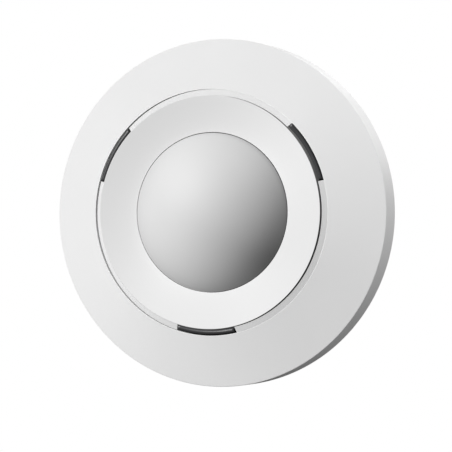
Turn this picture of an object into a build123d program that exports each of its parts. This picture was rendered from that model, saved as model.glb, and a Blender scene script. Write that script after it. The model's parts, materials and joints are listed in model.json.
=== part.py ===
from build123d import *
import math
import os

# Ceiling motion detector, in millimetres.
# It is built on the bench with +Z out of the ceiling face, which lies at zero height,
# and with +Y towards the top of the front view. The last step stands it up, so that
# the lens looks along -Y and +Z is up. Heights below are heights above the ceiling face.

# Overall form
slope_width = 16.1             # sloping face, measured outwards, so the cover is 110 across
rim_height = 10.2              # front edge of the rim
rim_draft = 0.5                # the rim is this much smaller in radius at the ceiling
rim_wall = 1.5                 # the rim's wall at the ceiling
slope_inner_diameter = 77.8    # inner edge of the sloping face
slope_top_height = 20.3        # that edge
channel_width = 2.0            # groove between the sloping face and the dish
channel_depth = 1.5            # groove floor below the edge of the sloping face
dish_edge_height = 21.6        # outer edge of the dish round the lens
lens_diameter = 50.2
lens_seam_height = 19.5
lens_rise = 13.0               # top of the lens above its seam

# Fits and rounding shared by several pieces
turning_gap = 0.3              # between pieces that move past each other
seat_gap = 0.1                 # between fixed pieces beside each other
seam_gap = 0.35                # visible joint round the lens
ceiling_gap = 0.4              # the cover stays clear of the ceiling
pin_gap = 0.08                 # a pin or screw in its hole
edge_round = 0.5
small_round = 0.25
overrun = 1.0                  # cuts run this far past what they cut

# Twist lock of the cover
twist_range = 20.0             # degrees, closed to open
lock_angles = (90.0, 210.0, 330.0)
cover_wall = 2.0
lug_span = 14.4                # degrees
lug_thickness = 2.5
lug_reach = 2.9
ledge_span = 16.0              # degrees
ledge_thickness = 1.5
stop_span = 2.0                # degrees
stop_clear_span = 0.4          # degrees between a lug and its stop
lock_wall = 1.6
lock_wall_height = 6.2
lock_side_gap = 0.5            # a lug to the lock wall
rib_count = 12
rib_thickness = 1.2
rib_depth = 1.6

# Groove floor, light windows and dish
groove_floor = 1.4             # thickness
window_angles = (30.0, 150.0, 270.0)
window_span = 30.0             # degrees
window_proud = 0.25            # rounded top above the groove floor
window_foot = 1.5              # foot that the dish's skirt traps
window_foot_thickness = 0.7
window_leg_span = 6.0          # degrees
window_leg_height = 4.0
window_crown_share = 0.45      # of a window's width, its rounding at each side
dish_wall = 1.6
dish_clip_angles = (60.0, 180.0, 300.0)
dish_clip_width = 4.0
dish_clip_thickness = 1.2
dish_clip_barb = 0.6
dish_clip_barb_height = 1.2

# Lens and the ring that clamps it
lens_wall = 0.8
lens_flange = 3.4              # reach beyond the lens's skirt
lens_flange_thickness = 1.0
lens_throat = 3.3              # depth of the dish's throat below the seam
ridge_count = 6
ridge_depth = 0.25
clamp_thickness = 1.4
clamp_angles = (0.0, 120.0, 240.0)
clamp_boss_radius = 2.5
clamp_screw_radius = 0.9
clamp_head_radius = 1.9
clamp_head_height = 1.0
clamp_roof_share = 1 / 3       # of the groove floor's thickness, left above a clamp screw
clamp_drive_share = 0.25       # of the head's height, the width of its cross slots

# Mounting base
base_thickness = 2.0
base_rim_gap = 0.5             # base to the inside of the cover's rim
back_recess = 0.6
back_recess_inner = 14.0
back_recess_outer = 38.0
back_recess_count = 6
back_recess_span = 50.0        # degrees
mount_hole_inset = 5.0         # hole circle, inside the lock wall: 86 across
mount_hole_radius = 2.2
mount_boss_radius = 4.2
mount_boss_height = 1.2
post_radius = 2.8
post_shares = ((-0.715, 0.05), (0.715, 0.05), (0.0, -0.735))
board_screw_radius = 1.2
board_screw_head_radius = 2.4
board_screw_head_height = 1.5
board_screw_length = 5.6
board_screw_drive_shares = (1.3, 1 / 3)  # cross slots: of the head's radius and of its height

# Batteries and their contacts
cell_radius = 5.25
cell_length = 44.5
cell_nub_radius = 1.9
cell_nub_length = 1.2
cell_spacing = 11.0
cell_lift = 0.4                # cells above the base's floor
bay_wall = 1.2
bay_wall_height = 6.0
bay_end_room = 1.95            # space for a contact at each end of a cell
bay_corner_gap = 1.5           # the bay's outer corners to the lock wall
cradle_height = 2.0
cradle_thickness = 1.5
cradle_share = 0.3             # of a cell's length, from the middle to each cradle rib
contact_thickness = 0.3
contact_width = 6.0
contact_tail_width = 2.4
contact_tail_reach = 2.0       # over the board
leaf_touch_share = 0.22        # of the contact's height, half of what touches the cell
leaf_half_width_share = 1 / 3  # of the contact's width

# Circuit board and what stands on it, with places as shares of the board's radius
board_edge_gap = 6.0           # to the lock wall, so the board is 84 across
board_bottom = 7.0
board_thickness = 1.6
board_notch_gap = 0.8          # round a mounting boss
board_bay_gap = 0.35           # beside the battery bay
collar_bottom_radius = 7.6
collar_top_radius = 6.6
collar_height = 5.2
collar_floor = 1.5
sensor_base_radius = 4.95
sensor_base_thickness = 0.6
sensor_can_radius = 4.55
sensor_can_wall = 0.25
sensor_can_height = 3.8
sensor_window_length = 4.4
sensor_window_width = 3.4
sensor_filter_border = 0.5
sensor_filter_thickness = 0.5
sensor_pin_radius = 0.22
sensor_pin_circle_radius = 2.54
sensor_pin_below_board = 0.9
sensor_pin_angles = (45, 135, 270)
pyro_length = 3.0
pyro_width = 2.2
pyro_height = 1.4
pyro_slit_share = 0.1          # of its length
shield_length = 15.0
shield_width = 12.0
shield_height = 2.4
shield_wall = 0.3
shield_place_shares = (-0.345, -0.31)
antenna_span = 36.0            # degrees
antenna_middle = 180.0         # degrees
antenna_inset = 2.2            # from the board's edge
antenna_thickness = 0.4
antenna_strip = 1.6
antenna_height = 3.4
antenna_foot_span = 3.0        # degrees
controller_size = 7.0
controller_height = 1.1
controller_lead_reach = 0.9
controller_lead_width = 0.35
controller_stand_off = 0.1375
controller_leads = 8           # along each side
controller_place_shares = (0.33, -0.2)
crystal_length = 5.0
crystal_width = 3.2
crystal_height = 1.1
crystal_place_shares = (0.33, 0.03)
capacitor_radius = 3.15
capacitor_height = 5.2
capacitor_foot = 6.6
capacitor_foot_height = 0.9
capacitor_place_shares = (0.0, -0.41)
header_length = 8.0
header_width = 4.0
header_height = 3.0
header_wall = 0.6
header_pin = 0.5
header_pins = 4
header_pin_share = 0.8         # of the header's height
header_place_shares = (0.47, 0.19)
led_length = 3.0
led_width = 1.8
led_height = 1.1
led_dome_radius = 0.7
led_dome_sink = 0.025
chip_length = 1.6
chip_width = 0.8
chip_height = 0.5
chip_row_shares = ((-0.43, 0.2), (-0.36, 0.2), (-0.29, 0.2), (-0.22, 0.2), (0.08, -0.23),
                   (0.08, -0.3), (0.53, -0.1), (0.53, -0.17), (0.2, -0.5), (-0.2, -0.55),
                   (-0.28, -0.55), (-0.36, -0.55), (0.6, 0.25), (-0.62, 0.2))

# Tamper switch, learn button and setting switches
tamper_angle = 220.0           # degrees, round the axis
tamper_inset = 2.9             # outwards from the inner edge of the groove's floor
tamper_body_size = 5.6
tamper_body_height = 2.6
tamper_plunger_radius = 1.1
tamper_plunger_proud = 0.8     # above its body with the cover closed
tamper_plunger_length = 2.6
tamper_travel = 1.0
tamper_ramp_width = 4.4
tamper_ramp_end_span = 3.0     # degrees of ramp past each end of its use
button_body_size = 6.0
button_body_height = 2.2
button_cap_radius = 1.7
button_cap_proud = 1.3
button_cap_depth = 1.0
button_travel = 0.25
button_place_shares = (0.71, -0.29)
setting_count = 3
setting_pitch = 2.54
setting_body_length = 8.4
setting_body_width = 5.6
setting_body_height = 2.6
setting_slot_width = 1.3
setting_slot_depth = 1.2
setting_slot_side_gap = 0.16
setting_travel = 1.2
setting_knob_length = 1.1
setting_knob_proud = 0.6
setting_place_shares = (0.5, -0.53)

# Places that follow from the values above
slope_inner_radius = slope_inner_diameter / 2
body_radius = slope_inner_radius + slope_width
groove_height = slope_top_height - channel_depth
groove_under = groove_height - groove_floor
slope_rise = slope_top_height - rim_height
slope_drop = cover_wall * math.hypot(slope_width, slope_rise) / slope_width
dish_radius = slope_inner_radius - channel_width
lens_radius = lens_diameter / 2
dish_opening_radius = lens_radius + seam_gap
dish_slope = (dish_edge_height - lens_seam_height) / (dish_radius - dish_opening_radius)
dish_drop = dish_wall * math.hypot(1, dish_slope)
throat_bottom = lens_seam_height - lens_throat
clamp_top = throat_bottom - lens_flange_thickness
clamp_bottom = clamp_top - clamp_thickness
pilot_top = groove_height - clamp_roof_share * groove_floor
lens_flange_radius = lens_radius + lens_flange
dish_underside_rise = groove_height + seat_gap + dish_drop - lens_seam_height
groove_inner_radius = dish_opening_radius + dish_underside_rise / dish_slope
skirt_inner_radius = dish_radius - dish_wall
clamp_screw_circle = groove_inner_radius + clamp_boss_radius
rim_inner_radius = body_radius - rim_draft - rim_wall
base_radius = rim_inner_radius - base_rim_gap
lug_bottom = base_thickness + turning_gap
ledge_bottom = lug_bottom + lug_thickness + turning_gap
lug_inner_radius = rim_inner_radius - lug_reach
lock_wall_outer = lug_inner_radius - lock_side_gap
lock_wall_inner = lock_wall_outer - lock_wall
ledge_radius = base_radius - seat_gap
board_radius = lock_wall_inner - board_edge_gap
board_top = board_bottom + board_thickness
mount_circle_radius = lock_wall_inner - mount_hole_inset
tamper_radius = groove_inner_radius + tamper_inset
cell_centre_height = base_thickness + cell_lift + cell_radius
bay_half_length = cell_length / 2 + bay_end_room
bay_reach = math.sqrt((lock_wall_inner - bay_corner_gap) ** 2 - (bay_half_length + bay_wall) ** 2)
bay_high = bay_reach - bay_wall
bay_low = bay_high - cell_spacing - 2 * cell_radius - 2 * turning_gap
cell_rows = (bay_low + turning_gap + cell_radius, bay_high - turning_gap - cell_radius)
bay_top = base_thickness + bay_wall_height


# Shapes used by several pieces

def spun(points, radii):
    # A closed outline of radius and height, with a rounding for each corner, turned about the axis.
    outline = FilletPolyline(*points, radius=radii, close=True)
    return revolve(make_face(Plane.XZ * outline), Axis.Z)


def disc(radius, bottom, top):
    solid = Cylinder(radius, top - bottom, align=(Align.CENTER, Align.CENTER, Align.MIN))
    return Pos(0, 0, bottom) * solid


def tube(inner, outer, bottom, top):
    return disc(outer, bottom, top) - disc(inner, bottom - overrun, top + overrun)


def block(length, width, bottom, top):
    solid = Box(length, width, top - bottom, align=(Align.CENTER, Align.CENTER, Align.MIN))
    return Pos(0, 0, bottom) * solid


def arc_block(inner, outer, bottom, top, middle, span):
    # A curved bar about the axis, span degrees long.
    outline = Polyline((inner, bottom), (outer, bottom), (outer, top), (inner, top), close=True)
    bar = revolve(make_face(Plane.XZ * outline), Axis.Z, span)
    return Rot(0, 0, middle - span / 2) * bar


def round_the_axis(shape, radius, angle):
    return Rot(0, 0, angle) * Pos(radius, 0, 0) * shape


def on_board(shape, shares):
    return Pos(shares[0] * board_radius, shares[1] * board_radius, 0) * shape


def joined(shape, extras):
    # One union of a shape with all the solids in a list.
    return shape + [solid for extra in extras for solid in extra.solids()]


def slope_height(radius):
    # Height of the cover's sloping face at a radius.
    return rim_height + slope_rise * (body_radius - radius) / slope_width


# Cover and what turns with it

def cover_shell():
    inner_corner = slope_height(rim_inner_radius) - slope_drop
    under_radius = rim_inner_radius - (groove_under - inner_corner) * slope_width / slope_rise
    points = [
        (rim_inner_radius, ceiling_gap),
        (body_radius - rim_draft, ceiling_gap),
        (body_radius, rim_height),
        (slope_inner_radius, slope_top_height),
        (slope_inner_radius, groove_height),
        (groove_inner_radius, groove_height),
        (groove_inner_radius, groove_under),
        (under_radius, groove_under),
        (rim_inner_radius, inner_corner),
    ]
    radii = [0, small_round, edge_round, small_round, 0, 0, 0, 0, 0]
    return spun(points, radii)


def cover_ribs():
    # Radial ribs under the sloping face, each rooted in half of the wall's thickness.
    outer = rim_inner_radius + seat_gap
    inner = slope_inner_radius + cover_wall
    outline = Polyline(
        (inner, slope_height(inner) - slope_drop / 2),
        (outer, slope_height(outer) - slope_drop / 2),
        (outer, slope_height(outer) - slope_drop - rib_depth),
        (inner, slope_height(inner) - slope_drop - rib_depth),
        close=True,
    )
    rib = extrude(make_face(Plane.XZ * outline), rib_thickness / 2, both=True)
    return [Rot(0, 0, (step + 0.5) * 360 / rib_count) * rib for step in range(rib_count)]


def tamper_ramp():
    # The rib that holds the tamper plunger down: its sloping lower face rises by the
    # plunger's travel over the whole twist. Its middle lies half a twist back from the plunger.
    half_twist = math.radians(twist_range / 2)
    half_length = tamper_radius * math.sin(half_twist + math.radians(tamper_ramp_end_span))
    run = 2 * tamper_radius * math.sin(half_twist)
    slope = tamper_travel / run
    closed_height = board_top + tamper_body_height + tamper_plunger_proud + turning_gap
    middle_height = closed_height + tamper_travel / 2
    outline = Polyline(
        (-half_length, middle_height + slope * half_length),
        (half_length, middle_height - slope * half_length),
        (half_length, groove_under + seat_gap),
        (-half_length, groove_under + seat_gap),
        close=True,
    )
    face = make_face(Plane.YZ * outline)
    rib = Pos(-tamper_ramp_width / 2, 0, 0) * extrude(face, tamper_ramp_width)
    middle_radius = tamper_radius * (1 + math.cos(half_twist)) / 2
    return round_the_axis(rib, middle_radius, tamper_angle - twist_range / 2)


def cover_ring():
    extras = cover_ribs() + [tamper_ramp()]
    cuts = [dish_clip_hole(angle) for angle in dish_clip_angles]
    for angle in lock_angles:
        extras.append(arc_block(lug_inner_radius, rim_inner_radius + seat_gap, lug_bottom,
                                lug_bottom + lug_thickness, angle, lug_span))
    for angle in clamp_angles:
        boss = disc(clamp_boss_radius, clamp_top, groove_under + seat_gap)
        extras.append(round_the_axis(boss, clamp_screw_circle, angle))
        pilot = disc(clamp_screw_radius + pin_gap, clamp_top - overrun, pilot_top)
        cuts.append(round_the_axis(pilot, clamp_screw_circle, angle))
    for angle in window_angles:
        cuts.append(arc_block(dish_radius, slope_inner_radius, groove_under - overrun,
                              groove_height + overrun, angle, window_span))
        foot_floor = groove_height - window_foot_thickness - seat_gap
        cuts.append(arc_block(dish_radius - window_foot - seat_gap, dish_radius + seat_gap, foot_floor,
                              groove_height + overrun, angle, window_span))
    return joined(cover_shell(), extras) - cuts


def dish_clip_hole(angle):
    depth = dish_clip_thickness + dish_clip_barb + 2 * seat_gap
    hole = block(depth, dish_clip_width + 2 * seat_gap, groove_under - overrun, groove_height + overrun)
    middle = skirt_inner_radius - dish_clip_thickness / 2 - seat_gap - dish_clip_barb / 2
    return round_the_axis(hole, middle, angle)


def dish_clip(angle):
    # A snap arm through the groove floor, with its barb inwards.
    outer = skirt_inner_radius - seat_gap
    inner = outer - dish_clip_thickness
    barb_top = groove_under - seat_gap
    top = lens_seam_height + dish_slope * (inner - dish_opening_radius) - dish_wall / 2
    outline = Polyline(
        (outer, barb_top - dish_clip_barb_height),
        (outer, top),
        (inner, top),
        (inner, barb_top),
        (inner - dish_clip_barb, barb_top),
        close=True,
    )
    arm = extrude(make_face(Plane.XZ * outline), dish_clip_width / 2, both=True)
    return Rot(0, 0, angle) * arm


def lens_bezel():
    under_inner = dish_opening_radius + dish_wall
    under_low = lens_seam_height + dish_slope * dish_wall - dish_drop
    under_high = lens_seam_height + dish_slope * (skirt_inner_radius - dish_opening_radius) - dish_drop
    points = [
        (skirt_inner_radius, groove_height),
        (dish_radius, groove_height),
        (dish_radius, dish_edge_height),
        (dish_opening_radius, lens_seam_height),
        (dish_opening_radius, throat_bottom),
        (under_inner, throat_bottom),
        (under_inner, under_low),
        (skirt_inner_radius, under_high),
    ]
    bezel = spun(points, [0, 0, edge_round, small_round, 0, 0, 0, 0])
    return joined(bezel, [dish_clip(angle) for angle in dish_clip_angles])


def cap_height(edge_radius, rise, radius):
    # Height above its edge of a spherical cap, at a radius.
    sphere = (edge_radius ** 2 + rise ** 2) / (2 * rise)
    return math.sqrt(sphere ** 2 - radius ** 2) - (sphere - rise)


def lens_dome():
    # A smooth cap outside. Inside, rings with small steps bend heat rays towards the sensor.
    inner_radius = lens_radius - lens_wall
    inner_rise = lens_rise - lens_wall
    half_way = lens_radius / 2
    top = lens_seam_height + lens_rise
    outer_middle = (half_way, lens_seam_height + cap_height(lens_radius, lens_rise, half_way))
    outer_arc = ThreePointArc((0, top), outer_middle, (lens_radius, lens_seam_height))
    points = [
        (lens_radius, lens_seam_height),
        (lens_radius, throat_bottom),
        (lens_flange_radius, throat_bottom),
        (lens_flange_radius, clamp_top),
        (inner_radius, clamp_top),
        (inner_radius, lens_seam_height),
    ]
    for step in range(ridge_count, 0, -1):
        radius = inner_radius * step / (ridge_count + 1)
        height = lens_seam_height + cap_height(inner_radius, inner_rise, radius)
        points += [(radius, height), (radius, height + ridge_depth)]
    points += [(0, top - lens_wall), (0, top)]
    outline = outer_arc.edges() + Polyline(*points).edges()
    return revolve(Plane.XZ * make_face(outline), Axis.Z)


def lens_retainer():
    inner = lens_radius - lens_wall
    outer = max(lens_flange_radius, clamp_screw_circle - clamp_boss_radius) + seat_gap
    ears = []
    cuts = [disc(inner, clamp_bottom - overrun, clamp_top + overrun)]
    for angle in clamp_angles:
        ear = disc(clamp_boss_radius, clamp_bottom, clamp_top)
        ears.append(round_the_axis(ear, clamp_screw_circle, angle))
        web = block(clamp_boss_radius * 2, clamp_boss_radius * 2, clamp_bottom, clamp_top)
        ears.append(round_the_axis(web, clamp_screw_circle - clamp_boss_radius, angle))
        hole = disc(clamp_screw_radius + pin_gap, clamp_bottom - overrun, clamp_top + overrun)
        sink = countersink(clamp_head_radius + pin_gap, clamp_screw_radius + pin_gap)
        cuts.append(round_the_axis(hole, clamp_screw_circle, angle))
        cuts.append(round_the_axis(sink, clamp_screw_circle, angle))
    return joined(disc(outer, clamp_bottom, clamp_top), ears) - cuts


def countersink(wide, narrow):
    cone = Cone(wide, narrow, clamp_head_height, align=(Align.CENTER, Align.CENTER, Align.MIN))
    return Pos(0, 0, clamp_bottom) * cone


def retainer_screws():
    screws = []
    for angle in clamp_angles:
        screw = disc(clamp_screw_radius, clamp_bottom, pilot_top - seat_gap)
        screw += countersink(clamp_head_radius, clamp_screw_radius)
        drive = block(clamp_head_radius, clamp_drive_share * clamp_head_height, clamp_bottom - overrun,
                      clamp_bottom + clamp_head_height / 2)
        screw -= drive
        screw -= Rot(0, 0, 90) * drive
        screws.append(round_the_axis(screw, clamp_screw_circle, angle))
    return Compound(screws)


def light_guide(angle):
    inner = dish_radius + seat_gap
    outer = slope_inner_radius - seat_gap
    top = groove_height + window_proud
    crown = (outer - inner) * window_crown_share
    outline = FilletPolyline((inner, groove_under), (outer, groove_under), (outer, top), (inner, top),
                             radius=[0, 0, crown, crown], close=True)
    span = window_span - math.degrees(2 * seat_gap / outer)
    bar = revolve(make_face(Plane.XZ * outline), Axis.Z, span)
    foot_top = groove_height - seat_gap / 2
    foot_bottom = groove_height - window_foot_thickness
    foot = arc_block(dish_radius - window_foot, inner + seat_gap, foot_bottom, foot_top, angle, span)
    leg = arc_block(inner + seat_gap, outer - seat_gap, groove_under - window_leg_height,
                    groove_under + seat_gap, angle, window_leg_span)
    return joined(Rot(0, 0, angle - span / 2) * bar, [foot, leg])


# Mounting base, the fixed piece on the ceiling

def mounting_base():
    rooted = base_thickness - seat_gap
    extras = [tube(lock_wall_inner, lock_wall_outer, rooted, base_thickness + lock_wall_height)]
    cuts = []
    extras += battery_bay_walls()
    cuts += battery_bay_cuts()
    for step in range(back_recess_count):
        angle = (step + 0.5) * 360 / back_recess_count
        cuts.append(arc_block(back_recess_inner, back_recess_outer, -overrun, back_recess, angle,
                              back_recess_span))
    for shares in post_shares:
        extras.append(on_board(disc(post_radius, rooted, board_bottom), shares))
        cuts.append(on_board(disc(board_screw_radius + pin_gap, base_thickness, board_bottom + overrun),
                             shares))
    for angle in lock_angles:
        extras += lock_ledge(angle)
        boss = disc(mount_boss_radius, rooted, base_thickness + mount_boss_height)
        hole = disc(mount_hole_radius, -overrun, base_thickness + mount_boss_height + overrun)
        extras.append(round_the_axis(boss, mount_circle_radius, angle))
        cuts.append(round_the_axis(hole, mount_circle_radius, angle))
    return joined(disc(base_radius, 0, base_thickness), extras) - cuts


def lock_ledge(angle):
    # A ledge over the cover's lug, with a stop at each end of the lug's way.
    top = ledge_bottom + ledge_thickness
    inner = lock_wall_outer - seat_gap
    from_middle = lug_span / 2 + stop_clear_span + stop_span / 2
    ledge = arc_block(inner, ledge_radius, ledge_bottom, top, angle, ledge_span)
    near_stop = arc_block(inner, ledge_radius, base_thickness - seat_gap, top, angle - from_middle, stop_span)
    far_stop = arc_block(inner, ledge_radius, base_thickness - seat_gap, top,
                         angle + twist_range + from_middle, stop_span)
    return [ledge, near_stop, far_stop]


def battery_bay_walls():
    rooted = base_thickness - seat_gap
    middle = (bay_low + bay_high) / 2
    depth = bay_high - bay_low
    outer = block(2 * (bay_half_length + bay_wall), depth + 2 * bay_wall, rooted, bay_top)
    inner = block(2 * bay_half_length, depth, rooted - overrun, bay_top + overrun)
    cradle = block(cradle_thickness, depth + bay_wall, rooted, base_thickness + cradle_height)
    return [
        Pos(0, middle, 0) * (outer - inner),
        Pos(cradle_share * cell_length, middle, 0) * cradle,
        Pos(-cradle_share * cell_length, middle, 0) * cradle,
    ]


def battery_bay_cuts():
    # Round seats for the cells, and a slot over each end wall for the contacts' tails.
    cuts = []
    for row in cell_rows:
        hollow = Cylinder(cell_radius + seat_gap, cell_length, rotation=(0, 90, 0))
        cuts.append(Pos(0, row, cell_centre_height) * hollow)
        slot = block(2 * (bay_half_length + bay_wall + overrun), contact_tail_width + 2 * seat_gap,
                     bay_top - contact_thickness, bay_top + overrun)
        cuts.append(Pos(0, row, 0) * slot)
    return cuts


# Batteries and contacts

def battery_cell(row, side):
    # The positive nub points to side, -1 or 1 along X.
    barrel_length = cell_length - cell_nub_length
    barrel = Cylinder(cell_radius, barrel_length, align=(Align.CENTER, Align.CENTER, Align.MIN))
    barrel = fillet(barrel.edges(), small_round)
    nub = Cylinder(cell_nub_radius, cell_nub_length + seat_gap, align=(Align.CENTER, Align.CENTER, Align.MIN))
    cell = barrel + Pos(0, 0, barrel_length - seat_gap) * nub
    return Pos(-side * cell_length / 2, row, cell_centre_height) * Rot(0, side * 90, 0) * cell


def contact_plate(width, row):
    # Upright plate against the bay's end wall on the +X side.
    outer = bay_half_length - seat_gap
    plate = Box(contact_thickness, width, bay_top - base_thickness - cell_lift,
                align=(Align.MAX, Align.CENTER, Align.MIN))
    return Pos(outer, row, base_thickness + cell_lift) * plate


def contact_pad(row):
    # A pressed bump that meets the cell's positive nub.
    reach = bay_end_room - seat_gap
    bump = Cone(cell_nub_radius, cell_nub_radius / 2, reach - contact_thickness / 2, rotation=(0, -90, 0),
                align=(Align.CENTER, Align.CENTER, Align.MIN))
    return Pos(bay_half_length - seat_gap - contact_thickness / 2, row, cell_centre_height) * bump


def contact_leaf(row):
    # A bent leaf that presses on the cell's flat end.
    plate_face = bay_half_length - seat_gap
    low = base_thickness + cell_lift
    height = bay_top - low
    touch = cell_length / 2 + seat_gap
    path = [
        (plate_face, low),
        (plate_face - contact_thickness, low),
        (touch, cell_centre_height - leaf_touch_share * height),
        (touch, cell_centre_height + leaf_touch_share * height),
        (touch + contact_thickness, cell_centre_height + leaf_touch_share * height),
        (touch + contact_thickness, cell_centre_height - leaf_touch_share * height),
        (plate_face, low + contact_thickness * 2),
    ]
    face = make_face(Plane.XZ * Polyline(*path, close=True))
    leaf = extrude(face, leaf_half_width_share * contact_width, both=True)
    return Pos(0, row, 0) * leaf


def contact_tail(row):
    # The strip over the bay's end wall to its solder pad on the board.
    start = bay_half_length - seat_gap - contact_thickness
    end = bay_half_length + bay_wall + board_bay_gap + contact_tail_reach
    corner = (Align.MIN, Align.CENTER, Align.MIN)
    strip = Box(end - start, contact_tail_width, contact_thickness, align=corner)
    riser = Box(contact_thickness, contact_tail_width, board_top - bay_top + contact_thickness + seat_gap,
                align=corner)
    tail = Pos(start, row, board_top) * strip
    return tail + Pos(start, row, bay_top - seat_gap) * riser


def positive_contact():
    row = cell_rows[0]
    return contact_plate(contact_width, row) + contact_pad(row) + contact_tail(row)


def negative_contact():
    row = cell_rows[1]
    return contact_plate(contact_width, row) + contact_leaf(row) + contact_tail(row)


def link_contact():
    # Joins the two cells in line at the -X end, and is built at the +X end and mirrored.
    low, high = cell_rows
    link = contact_plate(contact_width, low) + contact_plate(contact_width, high)
    link += contact_plate(cell_spacing, (low + high) / 2)
    link += contact_leaf(low)
    link += contact_pad(high)
    return mirror(link, Plane.YZ)


# Circuit board and parts

def main_board():
    board = disc(board_radius, board_bottom, board_top)
    bay_edge = bay_low - bay_wall - board_bay_gap
    bite = Box(2 * (bay_half_length + bay_wall + board_bay_gap), 2 * board_radius, board_radius,
               align=(Align.CENTER, Align.MIN, Align.CENTER))
    cuts = [Pos(0, bay_edge, board_bottom) * bite]
    for angle in lock_angles:
        notch = disc(mount_boss_radius + board_notch_gap, board_bottom - overrun, board_top + overrun)
        cuts.append(round_the_axis(notch, mount_circle_radius, angle))
    for shares in post_shares:
        hole = disc(board_screw_radius + pin_gap, board_bottom - overrun, board_top + overrun)
        cuts.append(on_board(hole, shares))
    for pin in sensor_pin_places():
        cuts.append(pin * disc(sensor_pin_radius + pin_gap, board_bottom - overrun, board_top + overrun))
    return board - cuts


def board_screws():
    screws = []
    for shares in post_shares:
        head_top = board_top + board_screw_head_height
        screw = disc(board_screw_radius, head_top - board_screw_length, board_top + seat_gap)
        head = disc(board_screw_head_radius, board_top, head_top)
        head = fillet(head.edges().group_by(Axis.Z)[-1], small_round)
        drive = block(board_screw_drive_shares[0] * board_screw_head_radius,
                      board_screw_drive_shares[1] * board_screw_head_height,
                      board_top + board_screw_head_height / 2, head_top + overrun)
        screw += head
        screw -= drive
        screw -= Rot(0, 0, 90) * drive
        screws.append(on_board(screw, shares))
    return Compound(screws)


def sensor_pin_places():
    return [Rot(0, 0, angle) * Pos(sensor_pin_circle_radius, 0, 0) for angle in sensor_pin_angles]


def sensor_collar():
    # A tapered collar that spaces the sensor off the board and keeps insects away from it.
    inner = sensor_base_radius + seat_gap
    points = [
        (0, board_top),
        (collar_bottom_radius, board_top),
        (collar_top_radius, board_top + collar_height),
        (inner, board_top + collar_height),
        (inner, board_top + collar_floor),
        (0, board_top + collar_floor),
    ]
    collar = spun(points, [0, 0, small_round, small_round, 0, 0])
    for pin in sensor_pin_places():
        collar -= pin * disc(sensor_pin_radius + pin_gap, board_top - overrun, board_top + collar_height)
    return collar


def sensor_bottom():
    return board_top + collar_floor


def pir_sensor_base():
    base = disc(sensor_base_radius, sensor_bottom(), sensor_bottom() + sensor_base_thickness)
    for pin in sensor_pin_places():
        base += pin * disc(sensor_pin_radius, board_bottom - sensor_pin_below_board,
                           sensor_bottom() + sensor_base_thickness / 2)
    return base


def pir_sensor_can():
    bottom = sensor_bottom() + sensor_base_thickness
    top = bottom + sensor_can_height
    can = fillet(disc(sensor_can_radius, bottom, top).edges().group_by(Axis.Z)[-1], small_round)
    can -= disc(sensor_can_radius - sensor_can_wall, bottom - overrun, top - sensor_can_wall)
    can -= block(sensor_window_length, sensor_window_width, bottom, top + overrun)
    return can


def pir_filter():
    top = sensor_bottom() + sensor_base_thickness + sensor_can_height - sensor_can_wall
    length = sensor_window_length + 2 * sensor_filter_border
    width = sensor_window_width + 2 * sensor_filter_border
    return block(length, width, top - sensor_filter_thickness, top)


def pyroelectric_element():
    bottom = sensor_bottom() + sensor_base_thickness
    carrier = block(pyro_length, pyro_width, bottom, bottom + pyro_height)
    slit = block(pyro_slit_share * pyro_length, pyro_width + overrun, bottom + pyro_height / 2,
                 bottom + pyro_height + overrun)
    return carrier - slit


def radio_shield():
    outer = block(shield_length, shield_width, board_top, board_top + shield_height)
    outer = fillet(outer.edges().filter_by(Axis.Z), edge_round)
    outer = fillet(outer.edges().group_by(Axis.Z)[-1], small_round)
    inner = block(shield_length - 2 * shield_wall, shield_width - 2 * shield_wall, board_top - overrun,
                  board_top + shield_height - shield_wall)
    return on_board(outer - inner, shield_place_shares)


def radio_antenna():
    outer = board_radius - antenna_inset
    inner = outer - antenna_thickness
    top = board_top + antenna_height
    strip = arc_block(inner, outer, top - antenna_strip, top, antenna_middle, antenna_span)
    for side in (-1, 1):
        middle = antenna_middle + side * (antenna_span - antenna_foot_span) / 2
        strip += arc_block(inner, outer, board_top, top - antenna_strip / 2, middle, antenna_foot_span)
    return strip


def microcontroller():
    body = block(controller_size, controller_size, board_top + controller_stand_off,
                 board_top + controller_height)
    pitch = controller_size / (controller_leads + 1)
    reach = controller_size + 2 * controller_lead_reach
    for step in range(controller_leads):
        offset = (step - (controller_leads - 1) / 2) * pitch
        lead = block(reach, controller_lead_width, board_top, board_top + 2 * controller_stand_off)
        body += Pos(0, offset, 0) * lead
        body += Rot(0, 0, 90) * Pos(0, offset, 0) * lead
    return on_board(body, controller_place_shares)


def crystal():
    can = block(crystal_length, crystal_width, board_top, board_top + crystal_height)
    can = fillet(can.edges().filter_by(Axis.Z), edge_round)
    return on_board(can, crystal_place_shares)


def bulk_capacitor():
    foot = block(capacitor_foot, capacitor_foot, board_top, board_top + capacitor_foot_height)
    can = disc(capacitor_radius, board_top + capacitor_foot_height / 2, board_top + capacitor_height)
    can = fillet(can.edges().group_by(Axis.Z)[-1], small_round)
    return on_board(foot + can, capacitor_place_shares)


def service_header():
    shell = block(header_length, header_width, board_top, board_top + header_height)
    shell -= block(header_length - 2 * header_wall, header_width - 2 * header_wall,
                   board_top + header_wall, board_top + header_height + overrun)
    pitch = (header_length - 2 * header_wall) / header_pins
    for step in range(header_pins):
        offset = (step - (header_pins - 1) / 2) * pitch
        shell += Pos(offset, 0, 0) * block(header_pin, header_pin, board_top + header_wall / 2,
                                           board_top + header_pin_share * header_height)
    return on_board(shell, header_place_shares)


def status_led(angle):
    body = block(led_width, led_length, board_top, board_top + led_height)
    dome = Sphere(led_dome_radius) & block(2 * led_dome_radius, 2 * led_dome_radius, 0, led_dome_radius)
    body += Pos(0, 0, board_top + led_height - led_dome_sink) * dome
    return round_the_axis(body, (dish_radius + slope_inner_radius) / 2, angle)


def chip_components():
    chip = block(chip_length, chip_width, board_top, board_top + chip_height)
    return Compound([on_board(chip, shares) for shares in chip_row_shares])


# Switches

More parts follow.
